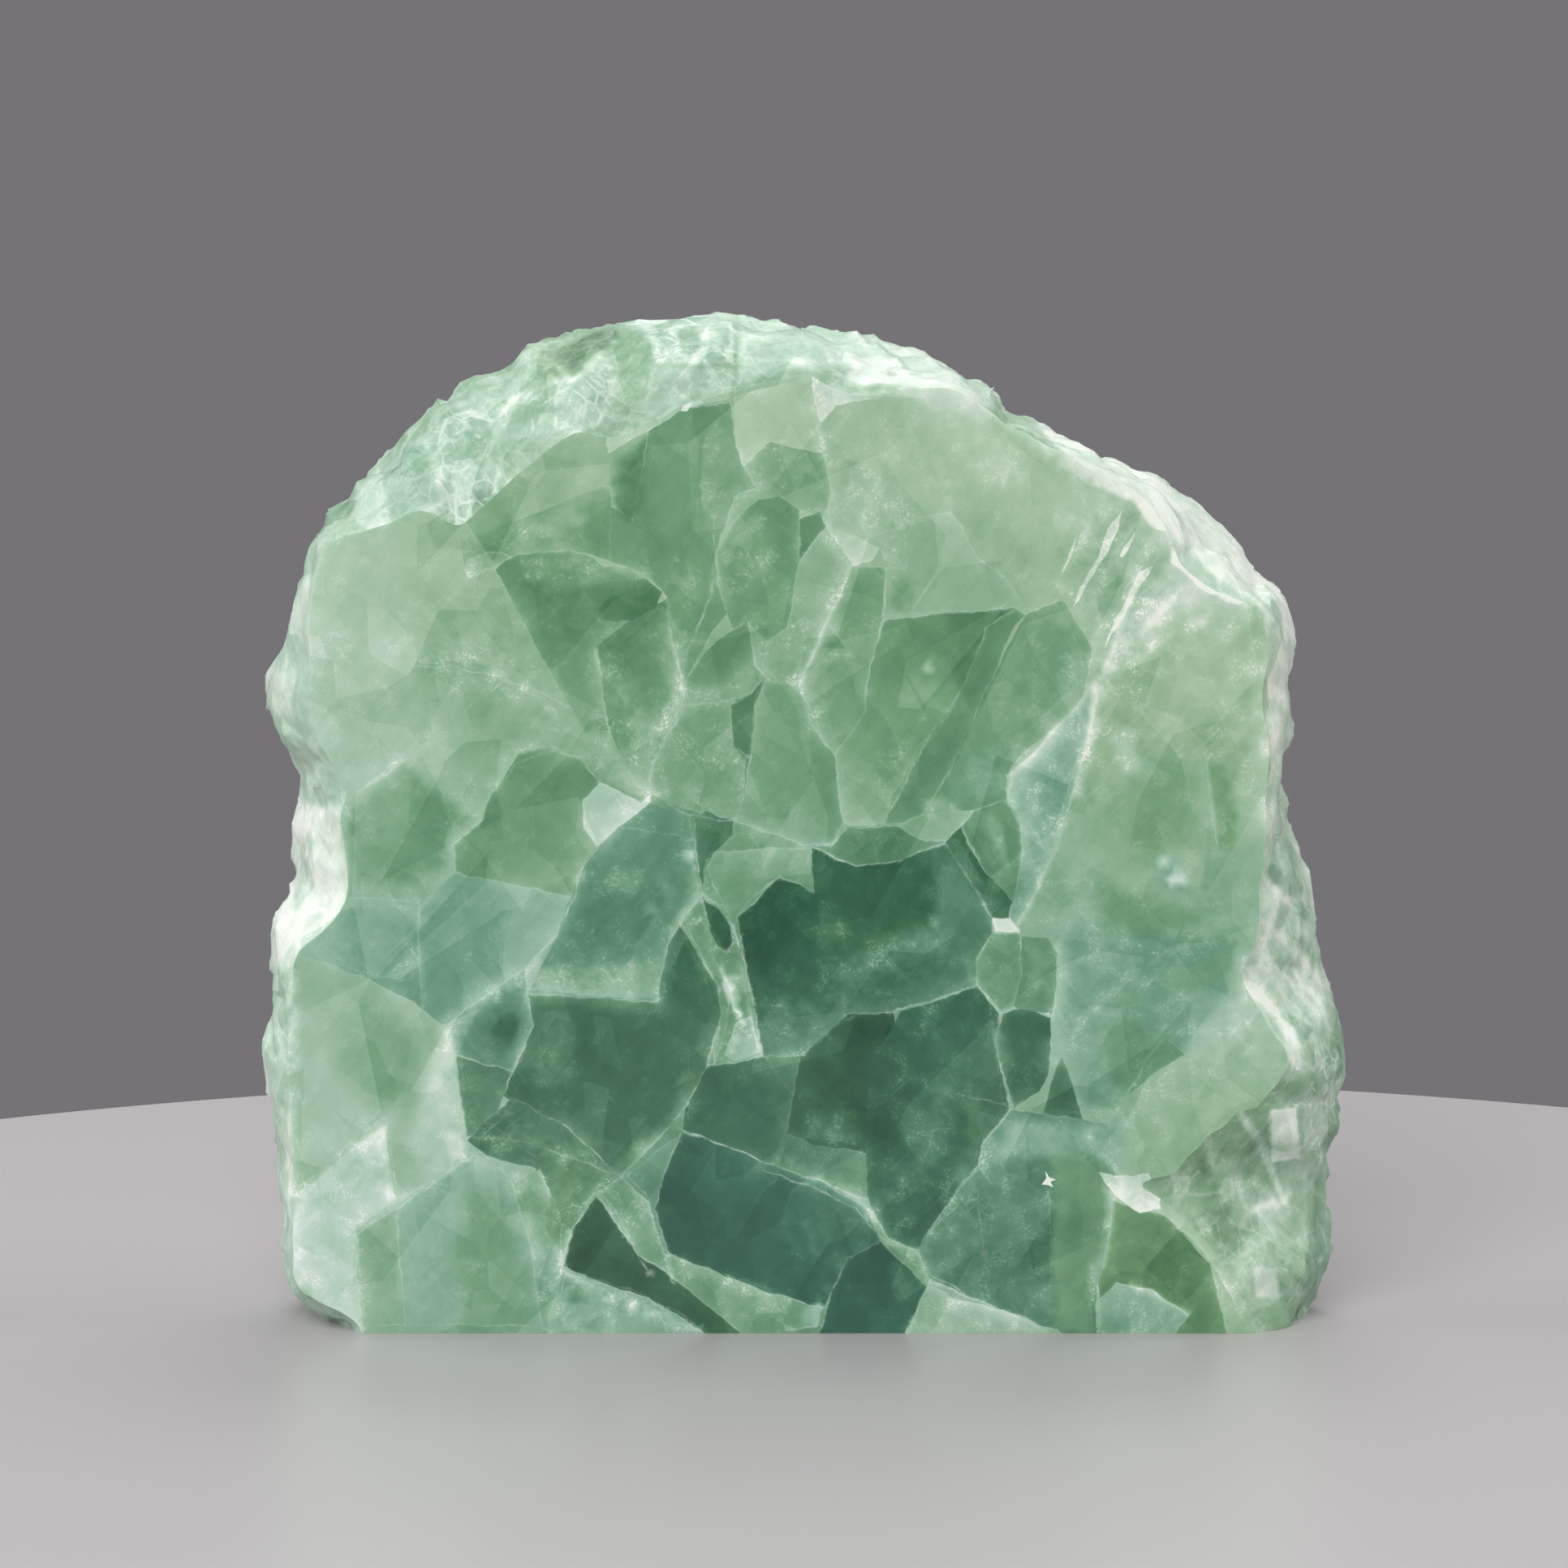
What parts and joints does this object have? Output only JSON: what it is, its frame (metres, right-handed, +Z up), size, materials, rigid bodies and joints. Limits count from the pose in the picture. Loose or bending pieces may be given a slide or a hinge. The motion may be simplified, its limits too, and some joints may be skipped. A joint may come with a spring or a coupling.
{
  "type": "fluorite freeform",
  "caption": "Freestanding lump of green fluorite, sawn flat underneath to stand, polished flat in front, with a rough broken rind and back.",
  "frame": {"origin": "centre of the stone's outline on the surface that it stands on, at the sawn base", "axes": "+X to the right as the polished face is looked at, +Y from the polished face to the rough back, +Z up"},
  "size_m": [0.1134, 0.0386, 0.105],
  "materials": {
    "fluorite": "translucent green fluorite, polished in front, sawn satin underneath, rough and whitish where broken"
  },
  "bodies": {
    "root": {"fluorite_freeform": "fluorite"}
  },
  "joints": []
}
